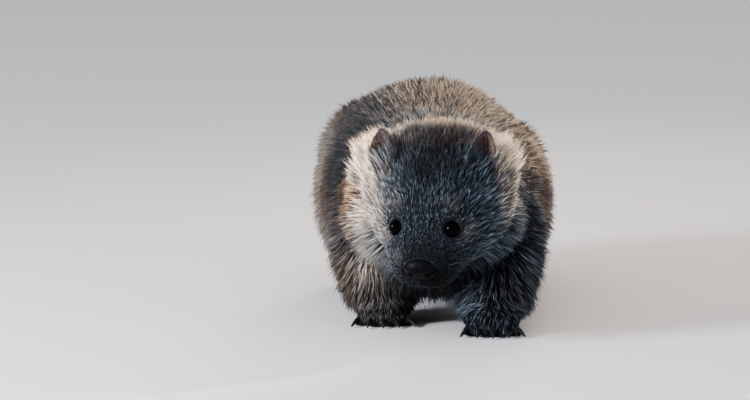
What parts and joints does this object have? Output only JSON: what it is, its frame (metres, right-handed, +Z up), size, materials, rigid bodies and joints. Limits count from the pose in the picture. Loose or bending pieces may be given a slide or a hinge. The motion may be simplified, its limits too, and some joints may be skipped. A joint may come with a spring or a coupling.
{
  "type": "wombat",
  "caption": "Life-size wombat walking with its head held low: a stout long-haired body on short legs, with a blunt muzzle, round ears and digging claws.",
  "frame": {"origin": "on the floor under the middle of the animal's bounding box", "axes": "+Z up from the floor, -Y the way the animal walks, +X towards its left side"},
  "size_m": [0.377, 0.8986, 0.3394],
  "materials": {
    "coat": "long coarse grizzled hair",
    "ear skin": "thin bare skin with short hair behind",
    "bare nose": "moist grained bare skin",
    "eye": "wet gloss",
    "claw": "worn dark horn"
  },
  "bodies": {
    "root": {"torso": "coat", "neck": "coat", "head": "coat", "tail": "coat", "foreleg_left": "coat", "foreleg_right": "coat", "hindleg_left": "coat", "hindleg_right": "coat", "forefoot_left": "coat", "forefoot_right": "coat", "hindfoot_left": "coat", "hindfoot_right": "coat", "ear_left": "ear skin", "ear_right": "ear skin", "nose": "bare nose", "eye_left": "eye", "eye_right": "eye", "claw_fore_left_1": "claw", "claw_fore_left_2": "claw", "claw_fore_left_3": "claw", "claw_fore_left_4": "claw", "claw_fore_left_5": "claw", "claw_fore_right_1": "claw", "claw_fore_right_2": "claw", "claw_fore_right_3": "claw", "claw_fore_right_4": "claw", "claw_fore_right_5": "claw", "claw_hind_left_1": "claw", "claw_hind_left_2": "claw", "claw_hind_left_3": "claw", "claw_hind_left_4": "claw", "claw_hind_right_1": "claw", "claw_hind_right_2": "claw", "claw_hind_right_3": "claw", "claw_hind_right_4": "claw"}
  },
  "joints": []
}
